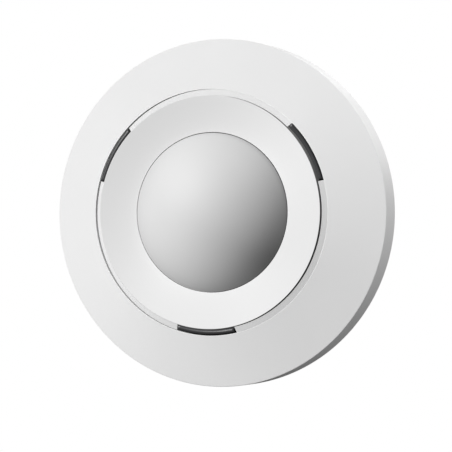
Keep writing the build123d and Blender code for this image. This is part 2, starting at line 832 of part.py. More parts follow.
def tamper_place(shape):
    return round_the_axis(shape, tamper_radius, tamper_angle)


def tamper_switch():
    top = board_top + tamper_body_height
    body = block(tamper_body_size, tamper_body_size, board_top, top)
    body = fillet(body.edges().filter_by(Axis.Z), small_round)
    bore_bottom = top + tamper_plunger_proud - tamper_plunger_length - turning_gap
    body -= disc(tamper_plunger_radius + pin_gap, bore_bottom, top + overrun)
    return tamper_place(body)


def tamper_plunger():
    top = board_top + tamper_body_height + tamper_plunger_proud
    pin = disc(tamper_plunger_radius, top - tamper_plunger_length, top)
    pin = fillet(pin.edges().group_by(Axis.Z)[-1], edge_round)
    return tamper_place(pin)


def button_well_bottom():
    return board_top + button_body_height - button_cap_depth - button_travel - turning_gap / 2


def learn_button_body():
    top = board_top + button_body_height
    body = block(button_body_size, button_body_size, board_top, top)
    body = fillet(body.edges().filter_by(Axis.Z), small_round)
    body -= disc(button_cap_radius + pin_gap, button_well_bottom(), top + overrun)
    return on_board(body, button_place_shares)


def learn_button_cap():
    top = board_top + button_body_height
    cap = disc(button_cap_radius, top - button_cap_depth, top + button_cap_proud)
    cap = fillet(cap.edges().group_by(Axis.Z)[-1], small_round)
    return on_board(cap, button_place_shares)


def setting_offset(number):
    return (number - (setting_count - 1) / 2) * setting_pitch


def setting_slot_length():
    return setting_knob_length + setting_travel + 2 * turning_gap


def setting_switch():
    top = board_top + setting_body_height
    body = block(setting_body_width, setting_body_length, board_top, top)
    for number in range(setting_count):
        slot = block(setting_slot_length(), setting_slot_width, top - setting_slot_depth, top + overrun)
        body -= Pos(0, setting_offset(number), 0) * slot
    return on_board(body, setting_place_shares)


def setting_slider(number):
    # Each slider rests at the -X end of its slot.
    top = board_top + setting_body_height
    knob = block(setting_knob_length, setting_slot_width - 2 * setting_slot_side_gap,
                 top - setting_slot_depth + seat_gap, top + setting_knob_proud)
    shift = -setting_travel / 2
    return on_board(Pos(shift, setting_offset(number), 0) * knob, setting_place_shares)


# The pieces, by the names that a person would use

pieces = {
    "cover_ring": cover_ring(),
    "lens_bezel": lens_bezel(),
    "lens_dome": lens_dome(),
    "lens_retainer": lens_retainer(),
    "retainer_screws": retainer_screws(),
    "mounting_base": mounting_base(),
    "battery_cell_1": battery_cell(cell_rows[0], 1),
    "battery_cell_2": battery_cell(cell_rows[1], -1),
    "battery_positive_contact": positive_contact(),
    "battery_negative_contact": negative_contact(),
    "battery_link_contact": link_contact(),
    "main_board": main_board(),
    "board_screws": board_screws(),
    "sensor_collar": sensor_collar(),
    "pir_sensor_base": pir_sensor_base(),
    "pir_sensor_can": pir_sensor_can(),
    "pir_filter": pir_filter(),
    "pyroelectric_element": pyroelectric_element(),
    "radio_shield": radio_shield(),
    "radio_antenna": radio_antenna(),
    "microcontroller": microcontroller(),
    "crystal": crystal(),
    "bulk_capacitor": bulk_capacitor(),
    "service_header": service_header(),
    "chip_components": chip_components(),
    "tamper_switch": tamper_switch(),
    "tamper_plunger": tamper_plunger(),
    "learn_button_body": learn_button_body(),
    "learn_button_cap": learn_button_cap(),
    "setting_switch": setting_switch(),
}
for number, angle in enumerate(window_angles, 1):
    pieces[f"light_guide_{number}"] = light_guide(angle)
    pieces[f"status_led_{number}"] = status_led(angle)
for number in range(setting_count):
    pieces[f"setting_slider_{number + 1}"] = setting_slider(number)

os.makedirs("parts", exist_ok=True)
for name, piece in pieces.items():
    standing = Rot(90, 0, 0) * piece
    export_step(standing, f"parts/{name}.step")
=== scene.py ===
import bmesh
import bpy
import json
import math
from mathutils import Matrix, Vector


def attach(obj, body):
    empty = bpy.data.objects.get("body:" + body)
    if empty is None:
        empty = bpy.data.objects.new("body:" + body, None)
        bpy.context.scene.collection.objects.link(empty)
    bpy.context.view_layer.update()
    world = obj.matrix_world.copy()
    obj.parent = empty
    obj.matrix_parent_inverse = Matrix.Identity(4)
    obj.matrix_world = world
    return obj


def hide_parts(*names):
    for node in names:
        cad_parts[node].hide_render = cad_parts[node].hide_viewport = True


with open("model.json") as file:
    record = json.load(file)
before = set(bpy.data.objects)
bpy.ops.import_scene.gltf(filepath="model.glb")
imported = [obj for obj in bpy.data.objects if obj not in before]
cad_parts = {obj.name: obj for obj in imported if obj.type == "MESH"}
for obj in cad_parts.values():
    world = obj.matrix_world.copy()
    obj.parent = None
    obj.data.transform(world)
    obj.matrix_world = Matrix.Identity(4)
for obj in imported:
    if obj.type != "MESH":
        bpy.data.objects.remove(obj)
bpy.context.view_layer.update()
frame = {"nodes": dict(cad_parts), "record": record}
nodes = frame["nodes"]
print("frame loaded,", len(nodes), "nodes")

# The lens axis is -Y, so heights above the ceiling run along -Y, and angles go round
# from +X towards +Z, as seen from the front.
sidesRound = 240        # 1.5 degrees each, so windows and lugs end on a ring's corners


def mm(length):
    return length / 1000


# How close points count as one, how fine the rounds are, and which edges stay sharp
meshing = {
    "near": mm(0.02), "nearAngle": 0.01, "weld": mm(0.002), "cut": mm(0.001), "leastSteps": 2,
    "softFrom": 40, "smoothTo": 35, "faceWeight": 100,
}


def placeOf(point):
    return math.hypot(point.x, point.z), -point.y, math.degrees(math.atan2(point.z, point.x)) % 360


def near(value, wanted):
    return abs(value - wanted) < meshing["near"]


def within(angle, middle, span):
    return abs((angle - middle + 180) % 360 - 180) <= span / 2 + meshing["nearAngle"]


def objectMode():
    if bpy.context.mode != "OBJECT":
        bpy.ops.object.mode_set(mode="OBJECT")


def clearSelection():
    objectMode()
    bpy.ops.object.select_all(action="DESELECT")


def only(piece):
    clearSelection()
    piece.select_set(True)
    bpy.context.view_layer.objects.active = piece


def editPiece(piece):
    only(piece)
    bpy.ops.object.mode_set(mode="EDIT")


def nameNew(name):
    piece = bpy.context.object
    piece.name = name
    piece.data.name = name
    bpy.ops.object.transform_apply(location=True, rotation=True, scale=True)
    return piece


def selectEdges(piece, wanted):
    bpy.ops.mesh.select_mode(type="EDGE")
    bpy.ops.mesh.select_all(action="DESELECT")
    mesh = bmesh.from_edit_mesh(piece.data)
    for edge in mesh.edges:
        edge.select_set(wanted(*[placeOf(vert.co) for vert in edge.verts]))
    bmesh.update_edit_mesh(piece.data)


def closeShell():
    bpy.ops.mesh.select_all(action="SELECT")
    bpy.ops.mesh.remove_doubles(threshold=meshing["weld"])
    bpy.ops.mesh.normals_make_consistent(inside=False)


def pullRing(here, there):
    # carries the selected ring of corners from one radius and height to the next
    bpy.ops.mesh.extrude_region_move(TRANSFORM_OT_translate={"value": (0, here[1] - there[1], 0)})
    share = there[0] / here[0]
    bpy.ops.transform.resize(value=(share, 1, share), center_override=(0, 0, 0))


def startRing(name, corner):
    clearSelection()
    bpy.ops.mesh.primitive_circle_add(vertices=sidesRound, radius=corner[0],
                                      location=(0, -corner[1], 0), rotation=(math.pi / 2, 0, 0))
    piece = nameNew(name)
    bpy.ops.object.mode_set(mode="EDIT")
    bpy.ops.mesh.select_mode(type="VERT")
    bpy.ops.mesh.select_all(action="SELECT")
    return piece


def roundRing(piece, before, corner, after, roundness, segments=4):
    into = Vector(corner) - Vector(before)
    outOf = Vector(after) - Vector(corner)
    selectEdges(piece, lambda a, b: all(near(end[0], corner[0]) and near(end[1], corner[1])
                                        for end in (a, b)))
    bpy.ops.mesh.bevel(offset=roundness * math.tan(into.angle(outOf) / 2), segments=segments,
                       affect="EDGES")


def turnSection(name, section, rounds):
    # pulls a ring round the corners of a closed section, then rounds some of its corners
    piece = startRing(name, section[0])
    for here, there in zip(section, section[1:] + section[:1]):
        pullRing(here, there)
    closeShell()
    for spot, roundness in rounds.items():
        after = section[(spot + 1) % len(section)]
        roundRing(piece, section[spot - 1], section[spot], after, roundness)
    objectMode()
    return piece


def arcBar(name, inner, outer, bottom, top, middle, span):
    # a flat plane is the bar's section, spun about the lens axis
    clearSelection()
    start = math.radians(middle - span / 2)
    bpy.ops.mesh.primitive_plane_add(size=1, location=((inner + outer) / 2,
                                                       -(bottom + top) / 2, 0))
    bar = bpy.context.object
    bar.scale = (outer - inner, top - bottom, 1)
    nameNew(name)
    bpy.ops.object.mode_set(mode="EDIT")
    bpy.ops.mesh.select_all(action="SELECT")
    bpy.ops.transform.rotate(value=start, orient_axis="Y", center_override=(0, 0, 0))
    steps = max(meshing["leastSteps"], round(span / (360 / sidesRound)))
    bpy.ops.mesh.spin(steps=steps, angle=math.radians(span), center=(0, 0, 0), axis=(0, 1, 0))
    closeShell()
    objectMode()
    return bar


def turnAbout(piece, angle):
    editPiece(piece)
    bpy.ops.mesh.select_all(action="SELECT")
    bpy.ops.transform.rotate(value=math.radians(angle), orient_axis="Y", center_override=(0, 0, 0))
    objectMode()


def slab(name, inner, outer, bottom, top, width):
    # a straight block on the +X side, from one radius to another
    clearSelection()
    bpy.ops.mesh.primitive_cube_add(size=1, location=((inner + outer) / 2,
                                                      -(bottom + top) / 2, 0))
    bpy.context.object.scale = (outer - inner, top - bottom, width)
    return nameNew(name)


def pin(name, radius, bottom, top, circle, sides=24):
    # a round post on the +X side, standing along the lens axis
    clearSelection()
    bpy.ops.mesh.primitive_cylinder_add(vertices=sides, radius=radius, depth=top - bottom,
                                        location=(circle, -(bottom + top) / 2, 0),
                                        rotation=(math.pi / 2, 0, 0))
    return nameNew(name)


def trim(piece, point, normal):
    # cuts away what lies beyond a plane and closes the cut
    editPiece(piece)
    bpy.ops.mesh.select_all(action="SELECT")
    bpy.ops.mesh.bisect(plane_co=point, plane_no=Vector(normal).normalized(), use_fill=True,
                        clear_outer=True, threshold=meshing["cut"])
    objectMode()


def softenEdges(piece, width, segments=2):
    useModifier(piece, "BEVEL", width=width, segments=segments, limit_method="ANGLE",
                angle_limit=math.radians(meshing["softFrom"]))


def copyRound(piece, angles):
    # the piece is modelled once at +X, and each copy has its own mesh
    copies = []
    for angle in angles:
        only(piece)
        bpy.ops.object.duplicate()
        copies.append(bpy.context.object)
        turnAbout(copies[-1], angle)
    bpy.data.objects.remove(piece)
    return copies


def useModifier(piece, kind, **settings):
    only(piece)
    modifier = piece.modifiers.new(kind.title(), kind)
    for key, value in settings.items():
        setattr(modifier, key, value)
    bpy.ops.object.modifier_apply(modifier=modifier.name)


def combine(piece, others, operation):
    # joins loose bodies first, so that each piece is cut or welded once
    clearSelection()
    for other in others:
        other.select_set(True)
    bpy.context.view_layer.objects.active = others[0]
    if len(others) > 1:
        bpy.ops.object.join()
    tool = bpy.context.object
    useModifier(piece, "BOOLEAN", object=tool, operation=operation, solver="EXACT", use_self=True)
    bpy.data.objects.remove(tool)


def smoothPiece(piece):
    only(piece)
    bpy.ops.object.shade_smooth_by_angle(angle=math.radians(meshing["smoothTo"]))
    useModifier(piece, "WEIGHTED_NORMAL", weight=meshing["faceWeight"], keep_sharp=True)


# Camera, where the photograph was taken from
shot = {
    "azimuth": 19.97, "elevation": -1.09, "distance": 4.0,      # a long lens, from far off
    "focal": 1008, "sensor": 36, "clipStart": 0.5, "frontEdge": mm(10.2),
    "aimRight": mm(1.25), "aimBelow": mm(4.15),
}


def addCamera():
    turn = math.radians(shot["azimuth"])
    rise = math.radians(shot["elevation"])
    back = Vector((math.sin(turn) * math.cos(rise), -math.cos(turn) * math.cos(rise),
                   math.sin(rise)))
    frontEdge = Vector((0, -shot["frontEdge"], 0))
    clearSelection()
    bpy.ops.object.camera_add(location=frontEdge + back * shot["distance"])
    camera = bpy.context.object
    right = Vector((0, 0, 1)).cross(back).normalized()
    up = back.cross(right)
    aim = frontEdge + right * shot["aimRight"] - up * shot["aimBelow"]
    camera.rotation_euler = (aim - camera.location).to_track_quat("-Z", "Y").to_euler()
    camera.data.lens = shot["focal"]
    camera.data.sensor_width = shot["sensor"]
    camera.data.clip_start = shot["clipStart"]
    bpy.context.scene.camera = camera
    bpy.context.scene.view_settings.view_transform = "Standard"


addCamera()
print("camera placed")

# Cover: rim, sloping face and the groove round the dish
cover = {
    "radius": mm(55), "rimHeight": mm(10.2), "rimDraft": mm(0.5), "rimWall": mm(1.5),
    "ceilingGap": mm(0.4), "slopeInner": mm(38.9), "slopeTop": mm(20.3),
    "grooveHeight": mm(18.8), "grooveFloor": mm(1.4), "ledgeInner": mm(36.95),
    "ledgeTop": mm(20.1), "ledgeEdge": mm(18.6),      # the groove's floor slopes as the cone does
    "slotTop": mm(20.15), "slotBelow": mm(1), "cut": mm(0.04),
    "footInner": mm(35.3), "footDepth": mm(0.8), "footAbove": mm(0.5),
    "floorInner": mm(31.05), "wall": mm(2.0),
    "edgeRound": mm(0.5), "smallRound": mm(0.25), "lipRound": mm(0.12),
}
windows = {"angles": (30.75, 150.75, 267), "spans": (31.5, 28.5, 30), "legAngles": (30, 150, 270)}
slopeRun = cover["radius"] - cover["slopeInner"]
slopeRise = cover["slopeTop"] - cover["rimHeight"]
slopeDrop = cover["wall"] * math.hypot(slopeRun, slopeRise) / slopeRun
rimInner = cover["radius"] - cover["rimDraft"] - cover["rimWall"]
grooveUnder = cover["grooveHeight"] - cover["grooveFloor"]


def slopeHeight(radius):
    return cover["rimHeight"] + slopeRise * (cover["radius"] - radius) / slopeRun


def coverSection():
    c = cover
    innerCorner = slopeHeight(rimInner) - slopeDrop
    underRadius = rimInner - (grooveUnder - innerCorner) * slopeRun / slopeRise
    return [
        (rimInner, c["ceilingGap"]),
        (c["radius"] - c["rimDraft"], c["ceilingGap"]),
        (c["radius"], c["rimHeight"]),
        (c["slopeInner"], c["slopeTop"]),
        (c["slopeInner"], c["ledgeEdge"]),
        (c["ledgeInner"], c["ledgeTop"]),
        (c["ledgeInner"], c["grooveHeight"]),
        (c["floorInner"], c["grooveHeight"]),
        (c["floorInner"], grooveUnder),
        (c["ledgeInner"], grooveUnder),
        (c["slopeInner"], grooveUnder),
        (underRadius, grooveUnder),
        (rimInner, innerCorner),
    ]


def windowHoles():
    # a slot through the ledge for each window, and a shallower one under the dish for its foot
    c = cover
    holes = []
    for middle, span in zip(windows["angles"], windows["spans"]):
        holes.append(arcBar("windowSlot", c["ledgeInner"] - c["cut"], c["slopeInner"] + c["cut"],
                            grooveUnder - c["slotBelow"], c["slotTop"], middle, span))
        holes.append(arcBar("footSlot", c["footInner"], c["ledgeInner"],
                            c["grooveHeight"] - c["footDepth"], c["grooveHeight"] + c["footAbove"],
                            middle, span))
    return holes


# Inside of the cover: ribs, twist lugs, screw bosses, tamper ramp and clip holes
inside = {
    "ribCount": 12, "ribThick": mm(1.2), "ribDepth": mm(1.6), "ribInner": mm(40.9),
    "root": mm(0.1),
    "lugAngles": (90, 210, 330), "lugSpan": 14.4, "lugInner": mm(50.1), "lugBottom": mm(2.3),
    "lugTop": mm(4.8), "bossAngles": (0, 120, 240), "bossCircle": mm(33.55), "bossRadius": mm(2.5),
    "bossBottom": mm(15.2), "bossSides": 40, "pilotRadius": mm(0.98), "pilotTop": mm(18.33),
    "over": mm(1),
    "rampAngle": 210, "rampCircle": mm(33.69), "rampWidth": mm(4.4), "rampHalf": mm(7.64),
    "rampHeight": mm(12.8), "rampSlope": 0.0848, "rampRoom": mm(2), "edge": mm(0.2),
    "clipAngles": (60, 180, 300), "clipInner": mm(33.3), "clipOuter": mm(35.3), "clipWidth": mm(4.2),
}


def coverRibs():
    i = inside
    outer = rimInner + i["root"]
    low = slopeHeight(outer) - slopeDrop - i["ribDepth"]
    rib = slab("coverRib", i["ribInner"], outer, low, slopeHeight(i["ribInner"]), i["ribThick"])
    softenEdges(rib, i["edge"])
    for depth, side in ((slopeDrop / 2, 1), (slopeDrop + i["ribDepth"], -1)):
        trim(rib, (outer, depth - slopeHeight(outer), 0), (side * slopeRise, -side * slopeRun, 0))
    pitch = 360 / i["ribCount"]
    return copyRound(rib, [(step + 0.5) * pitch for step in range(i["ribCount"])])


def coverLugs():
    i = inside
    lug = arcBar("coverLug", i["lugInner"], rimInner + i["root"], i["lugBottom"], i["lugTop"], 0,
                 i["lugSpan"])
    softenEdges(lug, i["edge"])
    return copyRound(lug, i["lugAngles"])


def coverBosses():
    i = inside
    boss = pin("screwBoss", i["bossRadius"], i["bossBottom"], grooveUnder + i["root"],
               i["bossCircle"], i["bossSides"])
    pilot = pin("screwPilot", i["pilotRadius"], i["bossBottom"] - i["over"], i["pilotTop"],
                i["bossCircle"])
    return copyRound(boss, i["bossAngles"]), copyRound(pilot, i["bossAngles"])


def tamperRamp():
    # its lower face slopes, so that turning the cover lets the tamper plunger rise
    i = inside
    ramp = slab("tamperRamp", i["rampCircle"] - i["rampWidth"] / 2,
                i["rampCircle"] + i["rampWidth"] / 2, i["rampHeight"] - i["rampRoom"],
                grooveUnder + i["root"], 2 * i["rampHalf"])
    trim(ramp, (0, -i["rampHeight"], 0), (0, 1, -i["rampSlope"]))
    return copyRound(ramp, [i["rampAngle"]])


def clipHoles():
    i = inside
    hole = slab("clipHole", i["clipInner"], i["clipOuter"], grooveUnder - i["over"],
                cover["grooveHeight"] + i["over"], i["clipWidth"])
    return copyRound(hole, i["clipAngles"])


def makeCover():
    piece = turnSection("coverShell", coverSection(),
                        {1: cover["smallRound"], 2: cover["edgeRound"], 3: cover["lipRound"]})
    bosses, pilots = coverBosses()
    combine(piece, coverRibs() + coverLugs() + bosses + tamperRamp(), "UNION")
    combine(piece, pilots + clipHoles() + windowHoles(), "DIFFERENCE")
    smoothPiece(piece)
    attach(piece, "cover")
    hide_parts("cover_ring")
    return piece


coverPiece = makeCover()
print("cover:", len(coverPiece.data.polygons), "faces")

# Dish round the lens
bezel = {
    "radius": mm(36.9), "edgeHeight": mm(21.6), "opening": mm(25.3), "seam": mm(19.5),
    "throatBottom": mm(16.2), "wall": mm(1.6), "skirtBottom": mm(18.8), "edgeRound": mm(0.14),
    "armAngles": (60, 180, 300), "armInner": mm(34.0), "armOuter": mm(35.2), "armWidth": mm(4),
    "barb": mm(0.6), "barbBottom": mm(16.1), "barbTop": mm(17.3),
}
dishSlope = (bezel["edgeHeight"] - bezel["seam"]) / (bezel["radius"] - bezel["opening"])


def snapArms():
    # the arms pass through the groove's floor, and their barbs catch under it
    b = bezel
    top = b["seam"] + dishSlope * (b["armInner"] - b["opening"]) - b["wall"] / 2
    arm = slab("snapArm", b["armInner"], b["armOuter"], b["barbBottom"], top, b["armWidth"])
    barb = slab("snapBarb", b["armInner"] - b["barb"], b["armOuter"], b["barbBottom"],
                b["barbTop"], b["armWidth"])
    reach = b["armOuter"] - b["armInner"] + b["barb"]
    for piece in (barb, arm):
        trim(piece, (b["armOuter"], -b["barbBottom"], 0),
             (b["barbBottom"] - b["barbTop"], reach, 0))
    combine(arm, [barb], "UNION")
    return copyRound(arm, b["armAngles"])


def makeBezel():
    b = bezel
    drop = b["wall"] * math.hypot(1, dishSlope)
    skirtInner = b["radius"] - b["wall"]
    section = [
        (skirtInner, b["skirtBottom"]),
        (b["radius"], b["skirtBottom"]),
        (b["radius"], b["edgeHeight"]),
        (b["opening"], b["seam"]),
        (b["opening"], b["throatBottom"]),
        (b["opening"] + b["wall"], b["throatBottom"]),
        (b["opening"] + b["wall"], b["seam"] + dishSlope * b["wall"] - drop),
        (skirtInner, b["seam"] + dishSlope * (skirtInner - b["opening"]) - drop),
    ]
    piece = turnSection("lensDish", section, {2: b["edgeRound"], 3: b["edgeRound"]})
    combine(piece, snapArms(), "UNION")
    smoothPiece(piece)
    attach(piece, "cover")
    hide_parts("lens_bezel")
    return piece


bezelPiece = makeBezel()
print("dish:", len(bezelPiece.data.polygons), "faces")

# Lens
lens = {
    "radius": mm(25.1), "seam": mm(19.5), "top": mm(32.5), "wall": mm(0.8),
    "flangeRadius": mm(28.5), "flangeTop": mm(16.2), "flangeBottom": mm(15.2),
    "outerRings": 28, "innerFacets": 12, "facetDepth": mm(0.22),
}


def capSphere(edgeRadius, rise):
    return (edgeRadius ** 2 + rise ** 2) / (2 * rise)


def capHeight(edgeRadius, rise, radius):
    sphere = capSphere(edgeRadius, rise)
    return math.sqrt(sphere ** 2 - radius ** 2) - (sphere - rise)


def makeLens():
    p = lens
    inner = p["radius"] - p["wall"]
    innerRise = p["top"] - p["wall"] - p["seam"]
    section = []
    for step in range(1, p["innerFacets"] + 1):
        facetRadius = inner * step / (p["innerFacets"] + 1)
        facetHeight = p["seam"] + capHeight(inner, innerRise, facetRadius)
        section += [(facetRadius, facetHeight + p["facetDepth"]), (facetRadius, facetHeight)]
    section += [
        (inner, p["seam"]),
        (inner, p["flangeBottom"]),
        (p["flangeRadius"], p["flangeBottom"]),
        (p["flangeRadius"], p["flangeTop"]),
        (p["radius"], p["flangeTop"]),
    ]
    rise = p["top"] - p["seam"]
    steepest = math.asin(p["radius"] / capSphere(p["radius"], rise))
    for step in range(p["outerRings"]):
        tilt = steepest * (1 - step / p["outerRings"])
        ringRadius = p["radius"] * math.sin(tilt) / math.sin(steepest)
        section.append((ringRadius, p["seam"] + capHeight(p["radius"], rise, ringRadius)))
    piece = startRing("lensDome", section[0])
    bpy.ops.mesh.edge_face_add()
    selectEdges(piece, lambda a, b: True)
    for here, there in zip(section, section[1:]):
        pullRing(here, there)
    toTop = (0, section[-1][1] - p["top"], 0)
    bpy.ops.mesh.extrude_region_move(TRANSFORM_OT_translate={"value": toTop})
    bpy.ops.mesh.merge(type="CENTER")
    closeShell()
    objectMode()
    smoothPiece(piece)
    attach(piece, "cover")
    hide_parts("lens_dome")
    return piece


lensPiece = makeLens()
print("lens:", len(lensPiece.data.polygons), "faces")

# Light windows
guide = {
    "inner": mm(37.0), "outer": mm(38.8), "bottom": mm(17.4), "top": mm(20.0),
    "crown": mm(0.84), "crownSegments": 6, "endGap": 0.3, "endSlack": 0.5,
    "footInner": mm(35.4), "footBottom": mm(18.1), "footTop": mm(18.75),
    "legInner": mm(37.1), "legOuter": mm(38.7), "legBottom": mm(13.4), "legSpan": 6,
}


def makeGuide(number, middle, fullSpan, legMiddle):
    g = guide
    span = fullSpan - g["endGap"]
    piece = arcBar(f"lightWindow_{number}", g["inner"], g["outer"], g["bottom"], g["top"],
                   middle, span)
    editPiece(piece)
    selectEdges(piece, lambda a, b: near(a[1], g["top"]) and near(b[1], g["top"])
                and (near(a[0], b[0]) and (near(a[0], g["inner"]) or near(a[0], g["outer"]))
                     or not near(a[0], b[0]) and not within(a[2], middle, span - g["endSlack"])))
    bpy.ops.mesh.bevel(offset=g["crown"], segments=g["crownSegments"], affect="EDGES")
    objectMode()
    foot = arcBar("windowFoot", g["footInner"], g["legInner"], g["footBottom"], g["footTop"],
                  middle, span)
    leg = arcBar("windowLeg", g["legInner"], g["legOuter"], g["legBottom"], g["footBottom"],
                 legMiddle, g["legSpan"])
    combine(piece, [foot], "UNION")
    combine(piece, [leg], "UNION")
    smoothPiece(piece)
    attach(piece, "cover")
    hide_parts(f"light_guide_{number}")
    return piece


guidePieces = [makeGuide(number, *window) for number, window in enumerate(
    zip(windows["angles"], windows["spans"], windows["legAngles"]), 1)]
print("windows:", [len(piece.data.polygons) for piece in guidePieces], "faces")

# Mounting base: the CAD part merged and softened, with what its mould leaves on the back
base = {
    "merge": mm(0.01), "flat": 1.0, "edge": mm(0.12), "edgeSegments": 1,
    "pinAngles": (30, 90, 150, 210, 270, 330), "pinCircle": mm(27), "pinRadius": mm(1.9),
    "pinSides": 32, "recess": mm(0.6), "pinDepth": mm(0.12), "over": mm(0.3),
}


def makeBase():
    b = base
    only(nodes["mounting_base"])
    bpy.ops.object.duplicate()
    piece = bpy.context.object
    piece.name = piece.data.name = "mountingPlate"
    editPiece(piece)
    bpy.ops.mesh.select_all(action="SELECT")
    bpy.ops.mesh.remove_doubles(threshold=b["merge"])
    bpy.ops.mesh.normals_make_consistent(inside=False)
    bpy.ops.mesh.dissolve_limited(angle_limit=math.radians(b["flat"]))
    objectMode()
    mark = pin("ejectorMark", b["pinRadius"], b["recess"] - b["over"],
               b["recess"] + b["pinDepth"], b["pinCircle"], b["pinSides"])
    combine(piece, copyRound(mark, b["pinAngles"]), "DIFFERENCE")
    softenEdges(piece, b["edge"], b["edgeSegments"])
    smoothPiece(piece)
    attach(piece, "base")
    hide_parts("mounting_base")
    return piece


basePiece = makeBase()
print("base:", len(basePiece.data.polygons), "faces")

# Materials


def toLinear(hexColour):
    # the sRGB curve, undone
    parts = [int(hexColour[i:i + 2], 16) / 255 for i in (0, 2, 4)]
    return [p / 12.92 if p <= 0.04045 else ((p + 0.055) / 1.055) ** 2.4 for p in parts] + [1]


def feed(tree, node, inputs):
    # links an input to another node's output, or gives it a value
    for socket, value in inputs.items():
        if isinstance(value, bpy.types.NodeSocket):
            tree.links.new(value, node.inputs[socket])
        else:
            node.inputs[socket].default_value = value


def addNode(tree, kind, inputs=None, **settings):
    node = tree.nodes.new(kind)
    for key, value in settings.items():
        setattr(node, key, value)
    feed(tree, node, inputs or {})
    return node


def newMaterial(name):
    # its shader is already joined to the output, and place is where on the piece a point lies
    material = bpy.data.materials.new(name)
    material.use_nodes = True
    tree = material.node_tree
    tree.nodes.clear()
    place = addNode(tree, "ShaderNodeTexCoord").outputs["Object"]
    shader = addNode(tree, "ShaderNodeBsdfPrincipled")
    addNode(tree, "ShaderNodeOutputMaterial", {"Surface": shader.outputs[0]})
    return material, tree, place, shader


# Moulded plastics. A mould's spark-eroded grain gives the eye a soft satin, and the
# melt's flow leaves broad faint clouds. The grain is drawn about 0.3 mm wide, three
# times the real one, so that it shows.
moulding = {"grainDetail": 3.0, "cloudDetail": 2.0, "bump": 0.6}
# injection-moulded white ABS, one shot for the cover and one for the dish
coverAbs = {"colour": "EEEEEE", "cloudColour": "EAEAEA", "cloud": mm(20), "grain": mm(0.3),
            "depth": mm(0.005), "roughness": 0.32, "spread": 0.04, "ior": 1.54}
dishAbs = dict(coverAbs, colour="EDEDED", cloudColour="EBEBEB", cloud=mm(14))
# plainer injection-moulded ABS, from coarser moulds, for what stays hidden
baseAbs = dict(coverAbs, colour="E9E9E6", cloudColour="E2E2DF", grain=mm(0.5), depth=mm(0.012),
               roughness=0.5)
clampAbs = dict(baseAbs, colour="E4E4E1", cloudColour="DCDCD8", cloud=mm(9))
# high-density polyethylene, pressed thin: milky, waxy, and pearly from the facets behind it
lensPolyethylene = {"colour": "E4E4E4", "cloudColour": "E1E1E1", "cloud": mm(12),
                    "grain": mm(0.6), "depth": mm(0.002), "roughness": 0.62, "spread": 0.02,
                    "ior": 1.54}
# smoked polycarbonate, polished in the mould: dark, with soft streaks of light along it
smokedPolycarbonate = {"colour": "4E4E4F", "cloudColour": "49494B", "cloud": mm(5),
                       "grain": mm(0.5), "depth": mm(0.001), "roughness": 0.34, "spread": 0.02,
                       "ior": 1.585}
# black nylon, injection moulded
collarNylon = dict(baseAbs, colour="202022", cloudColour="27272A", cloud=mm(4), roughness=0.55)
# epoxy pressed round a chip, dull and a little rough from its mineral filler
chipEpoxy = {"colour": "18181A", "cloudColour": "232325", "cloud": mm(1.2), "grain": mm(0.12),
             "depth": mm(0.006), "roughness": 0.6, "spread": 0.08, "ior": 1.55}
# small mouldings: undyed nylon, red nylon and white acetal
headerNylon = dict(chipEpoxy, colour="E3DBC4", cloudColour="D9D0B6", roughness=0.45)
switchRed = dict(chipEpoxy, colour="B0201C", cloudColour="A01A18", roughness=0.35)
switchWhite = dict(chipEpoxy, colour="ECECE8", cloudColour="E2E2DC", roughness=0.38)
# clear epoxy, cast and glossy
ledEpoxy = {"colour": "F1EDDD", "cloudColour": "E6E0C8", "cloud": mm(0.8), "grain": mm(0.1),
            "depth": mm(0.002), "roughness": 0.12, "spread": 0.04, "ior": 1.5, "coat": 0.6}


def mouldedPlastic(name, finish):
    material, tree, place, shader = newMaterial(name)
    grain = addNode(tree, "ShaderNodeTexNoise", {"Vector": place, "Scale": 1 / finish["grain"],
                                                 "Detail": moulding["grainDetail"]})
    cloud = addNode(tree, "ShaderNodeTexNoise", {"Vector": place, "Scale": 1 / finish["cloud"],
                                                 "Detail": moulding["cloudDetail"]})
    tone = addNode(tree, "ShaderNodeMix", {"Factor": cloud.outputs["Fac"],
                                           6: toLinear(finish["colour"]),
                                           7: toLinear(finish["cloudColour"])}, data_type="RGBA")
    rough = addNode(tree, "ShaderNodeMapRange", {
        "Value": grain.outputs["Fac"], "To Min": finish["roughness"] - finish["spread"],
        "To Max": finish["roughness"] + finish["spread"]})
    bump = addNode(tree, "ShaderNodeBump", {"Height": grain.outputs["Fac"],
                                            "Distance": finish["depth"],
                                            "Strength": moulding["bump"]})
    feed(tree, shader, {
        "Base Color": tone.outputs[2], "Roughness": rough.outputs["Result"],
        "Normal": bump.outputs["Normal"], "Metallic": 0.0, "IOR": finish["ior"],
        "Coat Weight": finish.get("coat", 0.0)})
    return material


# Metals. Rolled sheet and drawn cans carry fine lines one way, and plating leaves a
# slightly uneven sheen.
plating = {"stain": mm(3), "detail": 3.0, "smoother": 0.08, "rougher": 0.1, "depth": mm(0.004),
           "bump": 0.4}
# turned steel screws, zinc plated
zincSteel = {"colour": "C4C6C2", "stain": "A9ABA6", "line": mm(0.25), "along": (1, 1, 1),
             "roughness": 0.34}
# steel sheet, rolled, tinned and stamped
tinnedSheet = {"colour": "CFCFCB", "stain": "B7B7B2", "line": mm(0.2), "along": (0.05, 1, 1),
               "roughness": 0.3}
# spring strip, stamped and nickel plated
nickelPlate = {"colour": "D3CFC2", "stain": "BDB8A8", "line": mm(0.15), "along": (1, 0.05, 1),
               "roughness": 0.22}
# aluminium, deep drawn
drawnAluminium = {"colour": "D2D4D8", "stain": "BFC1C6", "line": mm(0.12), "along": (1, 0.04, 1),
                  "roughness": 0.28}


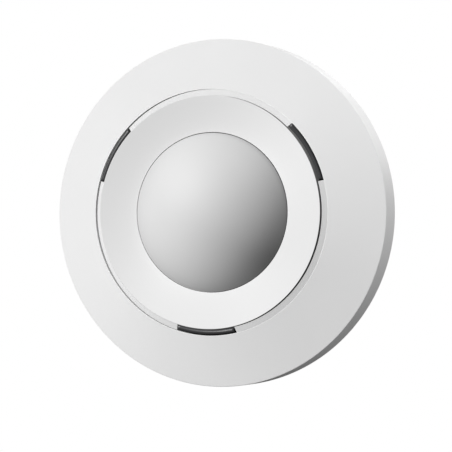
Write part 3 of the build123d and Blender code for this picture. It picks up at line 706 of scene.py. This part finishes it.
def platedMetal(name, finish):
    material, tree, place, shader = newMaterial(name)
    stretched = addNode(tree, "ShaderNodeMapping", {"Vector": place, "Scale": finish["along"]})
    lines = addNode(tree, "ShaderNodeTexNoise", {"Vector": stretched.outputs["Vector"],
                                                 "Scale": 1 / finish["line"],
                                                 "Detail": plating["detail"]})
    stain = addNode(tree, "ShaderNodeTexNoise", {"Vector": place, "Scale": 1 / plating["stain"],
                                                 "Detail": plating["detail"]})
    tone = addNode(tree, "ShaderNodeMix", {"Factor": stain.outputs["Fac"],
                                           6: toLinear(finish["colour"]),
                                           7: toLinear(finish["stain"])}, data_type="RGBA")
    rough = addNode(tree, "ShaderNodeMapRange", {
        "Value": lines.outputs["Fac"], "To Min": finish["roughness"] - plating["smoother"],
        "To Max": finish["roughness"] + plating["rougher"]})
    bump = addNode(tree, "ShaderNodeBump", {"Height": lines.outputs["Fac"],
                                            "Distance": plating["depth"],
                                            "Strength": plating["bump"]})
    feed(tree, shader, {
        "Base Color": tone.outputs[2], "Roughness": rough.outputs["Result"],
        "Normal": bump.outputs["Normal"], "Metallic": 1.0})
    return material


# Glass-epoxy laminate under green solder mask: copper tracks show through the mask as
# paler, slightly raised lines, and the glass weave gives it a faint grid.
board = {"mask": "0C4A2A", "track": "17663C", "cell": mm(2.6), "scatter": 0.75,
         "trackWidth": 0.07, "weave": mm(0.5), "wavesPerTurn": 20, "weaveWarp": 0.4,
         "weaveShare": 0.15, "depth": mm(0.03), "bump": 0.5, "roughness": 0.24,
         "rougher": 0.08, "ior": 1.52}


def laminate(name):
    material, tree, place, shader = newMaterial(name)
    cells = addNode(tree, "ShaderNodeTexVoronoi", {"Vector": place, "Scale": 1 / board["cell"],
                                                   "Randomness": board["scatter"]},
                    feature="DISTANCE_TO_EDGE", distance="EUCLIDEAN")
    track = addNode(tree, "ShaderNodeMath", {0: cells.outputs["Distance"],
                                             1: board["trackWidth"]}, operation="LESS_THAN")
    weave = addNode(tree, "ShaderNodeTexWave", {
        "Vector": place, "Scale": 1 / board["weave"] / board["wavesPerTurn"],
        "Distortion": board["weaveWarp"]}, wave_type="BANDS", bands_direction="DIAGONAL")
    tone = addNode(tree, "ShaderNodeMix", {"Factor": track.outputs[0],
                                           6: toLinear(board["mask"]),
                                           7: toLinear(board["track"])}, data_type="RGBA")
    height = addNode(tree, "ShaderNodeMath", {0: weave.outputs["Fac"], 1: board["weaveShare"],
                                              2: track.outputs[0]}, operation="MULTIPLY_ADD")
    bump = addNode(tree, "ShaderNodeBump", {"Height": height.outputs[0],
                                            "Distance": board["depth"],
                                            "Strength": board["bump"]})
    rough = addNode(tree, "ShaderNodeMapRange", {
        "Value": weave.outputs["Fac"], "To Min": board["roughness"],
        "To Max": board["roughness"] + board["rougher"]})
    feed(tree, shader, {
        "Base Color": tone.outputs[2], "Normal": bump.outputs["Normal"],
        "Roughness": rough.outputs["Result"], "IOR": board["ior"]})
    return material


# Dry cell: a dark shrink sleeve with a plain lighter band, and bare nickel-plated steel
# at both ends, where the sleeve stops
cell = {"sleeve": "2B3038", "band": "8D9299", "steel": "C9C6BC", "sleeveEnd": mm(20.6),
        "bandFrom": mm(9), "bandTo": mm(15), "ripple": mm(1.5), "detail": 2.0,
        "depth": mm(0.03), "bump": 0.5, "smoothest": 0.24, "roughest": 0.36}


def cellSleeve(name):
    material, tree, place, shader = newMaterial(name)
    along = addNode(tree, "ShaderNodeSeparateXYZ", {"Vector": place})
    fromMiddle = addNode(tree, "ShaderNodeMath", {0: along.outputs["X"]}, operation="ABSOLUTE")
    bare = addNode(tree, "ShaderNodeMath", {0: fromMiddle.outputs[0], 1: cell["sleeveEnd"]},
                   operation="GREATER_THAN")
    middle = (cell["bandFrom"] + cell["bandTo"]) / 2
    halfWidth = (cell["bandTo"] - cell["bandFrom"]) / 2
    band = addNode(tree, "ShaderNodeMath", {0: along.outputs["X"], 1: middle, 2: halfWidth},
                   operation="COMPARE")
    ripple = addNode(tree, "ShaderNodeTexNoise", {"Vector": place, "Scale": 1 / cell["ripple"],
                                                  "Detail": cell["detail"]})
    sleeve = addNode(tree, "ShaderNodeMix", {"Factor": band.outputs[0],
                                             6: toLinear(cell["sleeve"]),
                                             7: toLinear(cell["band"])}, data_type="RGBA")
    tone = addNode(tree, "ShaderNodeMix", {"Factor": bare.outputs[0], 6: sleeve.outputs[2],
                                           7: toLinear(cell["steel"])}, data_type="RGBA")
    bump = addNode(tree, "ShaderNodeBump", {"Height": ripple.outputs["Fac"],
                                            "Distance": cell["depth"],
                                            "Strength": cell["bump"]})
    rough = addNode(tree, "ShaderNodeMapRange", {"Value": ripple.outputs["Fac"],
                                                 "To Min": cell["smoothest"],
                                                 "To Max": cell["roughest"]})
    feed(tree, shader, {
        "Base Color": tone.outputs[2], "Metallic": bare.outputs[0],
        "Roughness": rough.outputs["Result"], "Normal": bump.outputs["Normal"]})
    return material


# Coated silicon filter: nearly black, with the violet sheen of a thin film
irFilter = {"colour": "17151C", "speckColour": "221F2B", "grain": mm(0.4), "smoothest": 0.06,
            "roughest": 0.12, "ior": 1.9, "filmThickness": 420, "filmIor": 1.38}


def coatedFilter(name):
    material, tree, place, shader = newMaterial(name)
    speck = addNode(tree, "ShaderNodeTexNoise", {"Vector": place, "Scale": 1 / irFilter["grain"]})
    tone = addNode(tree, "ShaderNodeMix", {"Factor": speck.outputs["Fac"],
                                           6: toLinear(irFilter["colour"]),
                                           7: toLinear(irFilter["speckColour"])},
                   data_type="RGBA")
    rough = addNode(tree, "ShaderNodeMapRange", {"Value": speck.outputs["Fac"],
                                                 "To Min": irFilter["smoothest"],
                                                 "To Max": irFilter["roughest"]})
    feed(tree, shader, {
        "Base Color": tone.outputs[2], "Roughness": rough.outputs["Result"],
        "IOR": irFilter["ior"], "Thin Film Thickness": irFilter["filmThickness"],
        "Thin Film IOR": irFilter["filmIor"]})
    return material


def dress(piece, material):
    piece.data.materials.clear()
    piece.data.materials.append(material)


slotMaterials = {
    "white_abs": mouldedPlastic("satinAbsCover", coverAbs),
    "grey_abs": mouldedPlastic("satinAbsBase", baseAbs),
    "lens_polyethylene": mouldedPlastic("milkyPolyethylene", lensPolyethylene),
    "smoked_polycarbonate": mouldedPlastic("smokedPolycarbonate", smokedPolycarbonate),
    "screw_steel": platedMetal("zincPlatedSteel", zincSteel),
    "cell_can": cellSleeve("shrinkSleevedCell"),
    "contact_nickel": platedMetal("nickelPlatedSpring", nickelPlate),
    "board_laminate": laminate("solderMaskedLaminate"),
    "sensor_metal": platedMetal("tinnedSheetSteel", tinnedSheet),
    "filter_glass": coatedFilter("coatedSiliconFilter"),
    "black_plastic": mouldedPlastic("mouldedChipEpoxy", chipEpoxy),
    "collar_plastic": mouldedPlastic("blackNylonCollar", collarNylon),
    "capacitor_can": platedMetal("drawnAluminiumCan", drawnAluminium),
    "header_nylon": mouldedPlastic("naturalNylonHeader", headerNylon),
    "led_epoxy": mouldedPlastic("clearLedEpoxy", ledEpoxy),
    "switch_red": mouldedPlastic("mouldedRedNylon", switchRed),
    "switch_white": mouldedPlastic("mouldedWhiteAcetal", switchWhite),
}
slotOf = {part["node"]: part["material_slot"] for part in frame["record"]["subparts"]}
for name, node in nodes.items():
    dress(node, slotMaterials[slotOf[name]])
dress(nodes["lens_retainer"], mouldedPlastic("satinAbsClamp", clampAbs))
dress(coverPiece, slotMaterials["white_abs"])
dress(bezelPiece, mouldedPlastic("satinAbsDish", dishAbs))
dress(lensPiece, slotMaterials["lens_polyethylene"])
dress(basePiece, slotMaterials["grey_abs"])
for piece in guidePieces:
    dress(piece, slotMaterials["smoked_polycarbonate"])
print("materials given to", len(nodes), "nodes and the dressed pieces")

# Light
# A faint even room light, and lamps that each reach one group of pieces: degrees round the
# lens axis from +X towards +Z, degrees away from the front, strength, angular size, and
# whether the lamp throws shadows. The photograph's key light throws none into the groove.
room = {"white": (1, 1, 1, 1), "ambient": 0.03, "backdrop": 1.0}
lamps = {
    "cover": [
        (90, 30, 0.468, 10, False), (190, 30, 1.728, 10, False), (0, 0, 0.681, 60, True),
        (60, 80, 1.079, 30, False), (0, 100, 0.663, 40, True), (270, 65, 0.361, 70, True),
        (180, 95, 0.708, 70, False), (120, 130, 0.779, 70, True), (60, 130, 1.68, 70, True),
    ],
    "dish": [(90, 30, 1.682, 10, False), (190, 30, 0.644, 10, False), (140, 50, 1.084, 20, False)],
    "windows": [(140, 50, 2.9, 25, False)],
    "lens": [(140, 42, 2.681, 20, True), (60, 80, 0.95, 15, True), (225, 65, 0.974, 70, True)],
    "inside": [(135, 35, 2.2, 30, True), (60, 140, 2.2, 60, True), (200, 100, 1.2, 60, True)],
    "floor": [(90, 80, 3.3, 60, True)],
}
groups = {"cover": [coverPiece], "dish": [bezelPiece], "windows": guidePieces, "lens": [lensPiece],
          "inside": [basePiece] + list(nodes.values())}


def addRoomLight():
    world = bpy.data.worlds.new("studio")
    bpy.context.scene.world = world
    world.use_nodes = True
    tree = world.node_tree
    tree.nodes.clear()
    felt = addNode(tree, "ShaderNodeBackground", {"Color": room["white"],
                                                  "Strength": room["ambient"]})
    seen = addNode(tree, "ShaderNodeBackground", {"Color": room["white"],
                                                  "Strength": room["backdrop"]})
    path = addNode(tree, "ShaderNodeLightPath")
    mix = addNode(tree, "ShaderNodeMixShader", {0: path.outputs["Is Camera Ray"],
                                                1: felt.outputs[0], 2: seen.outputs[0]})
    addNode(tree, "ShaderNodeOutputWorld", {"Surface": mix.outputs[0]})


def addLamps(group, pieces):
    reached = bpy.data.collections.new(group)
    for piece in pieces:
        reached.objects.link(piece)
    for turn, away, strength, size, shadow in lamps[group]:
        turn, away = math.radians(turn), math.radians(away)
        toLamp = Vector((math.sin(away) * math.cos(turn), -math.cos(away),
                         math.sin(away) * math.sin(turn)))
        clearSelection()
        bpy.ops.object.light_add(type="SUN")
        lamp = bpy.context.object
        lamp.name = f"{group}Lamp"
        lamp.rotation_euler = toLamp.to_track_quat("Z", "Y").to_euler()
        lamp.data.energy = strength
        lamp.data.angle = math.radians(size)
        lamp.data.use_shadow = shadow
        lamp.light_linking.receiver_collection = reached


def keepFromBounces(piece):
    piece.visible_diffuse = False
    piece.visible_glossy = False


floor = {"size": 6, "drop": 0.3}


def addFloor():
    clearSelection()
    bpy.ops.mesh.primitive_plane_add(size=floor["size"], location=(0, 0, -floor["drop"]))
    plane = bpy.context.object
    plane.name = "studioFloor"
    keepFromBounces(plane)
    plane.visible_shadow = False
    return plane


# what the housing's own white faces throw back would wash out the groove's dark walls
for piece in groups["cover"] + groups["dish"] + groups["windows"]:
    keepFromBounces(piece)
groups["floor"] = [addFloor()]
addRoomLight()
for group, pieces in groups.items():
    addLamps(group, pieces)
print("light and floor placed")
